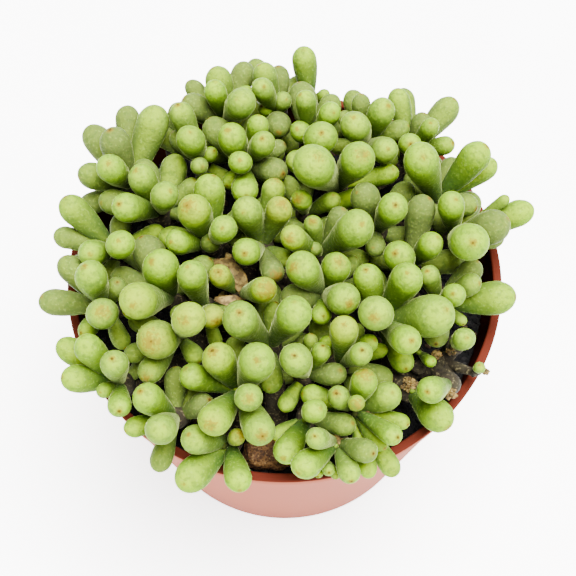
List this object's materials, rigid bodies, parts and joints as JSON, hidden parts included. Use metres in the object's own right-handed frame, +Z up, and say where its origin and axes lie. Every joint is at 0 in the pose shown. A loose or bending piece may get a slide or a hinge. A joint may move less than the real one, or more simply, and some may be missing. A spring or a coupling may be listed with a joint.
{
  "type": "potted tylecodon",
  "caption": "Small succulent of the tylecodon kind with dense club-shaped leaves on short woody branches, in a round tapered plastic nursery pot with soil.",
  "frame": {"origin": "centre of the pot's underside, on the surface it stands on", "axes": "+Z up; the side seen in the picture faces -Y, and +X is to its right"},
  "size_m": [0.1134, 0.1112, 0.1142],
  "materials": {
    "pot": "matt terracotta-coloured polypropylene, darker on the rim",
    "soil": "moist dark potting mix with fine grit",
    "pebble": "rough brown stone",
    "bark": "grey-brown warty bark with leaf scars",
    "leaf": "soft green succulent skin with fine pale speckles and a brown tip dot",
    "driedLeaf": "dry papery tan skin"
  },
  "bodies": {
    "root": {"bark": "bark", "leaves_backLeft_1": "leaf", "leaves_backLeft_2": "leaf", "leaves_backLeft_3": "leaf", "leaves_backLeft_4": "leaf", "leaves_backRight_1": "leaf", "leaves_backRight_2": "leaf", "leaves_backRight_3": "leaf", "leaves_backRight_4": "leaf", "leaves_back_1": "leaf", "leaves_back_2": "leaf", "leaves_back_3": "leaf", "leaves_back_4": "leaf", "leaves_bareFork_1": "leaf", "leaves_bareFork_2": "leaf", "leaves_bareFork_3": "leaf", "leaves_bare_1": "leaf", "leaves_bare_2": "leaf", "leaves_frontLeft_1": "leaf", "leaves_frontLeft_2": "leaf", "leaves_frontLeft_3": "leaf", "leaves_frontLeft_4": "leaf", "leaves_frontRight_1": "leaf", "leaves_frontRight_2": "leaf", "leaves_frontRight_3": "leaf", "leaves_frontRight_4": "leaf", "leaves_front_1": "leaf", "leaves_front_2": "leaf", "leaves_front_3": "leaf", "leaves_front_4": "leaf", "leaves_front_5": "leaf", "leaves_left_1": "leaf", "leaves_left_2": "leaf", "leaves_left_3": "leaf", "leaves_left_4": "leaf", "leaves_middle_1": "leaf", "leaves_middle_2": "leaf", "leaves_middle_3": "leaf", "leaves_middle_4": "leaf", "leaves_middle_5": "leaf", "leaves_right_1": "leaf", "leaves_right_2": "leaf", "leaves_right_3": "leaf", "leaves_right_4": "leaf", "leaves_right_5": "leaf", "leaves_right_6": "leaf", "pebble": "pebble", "pot": "pot", "soil": "soil", "witheredLeaf_middle_6": "driedLeaf", "witheredLeaf_middle_7": "driedLeaf"}
  },
  "joints": []
}
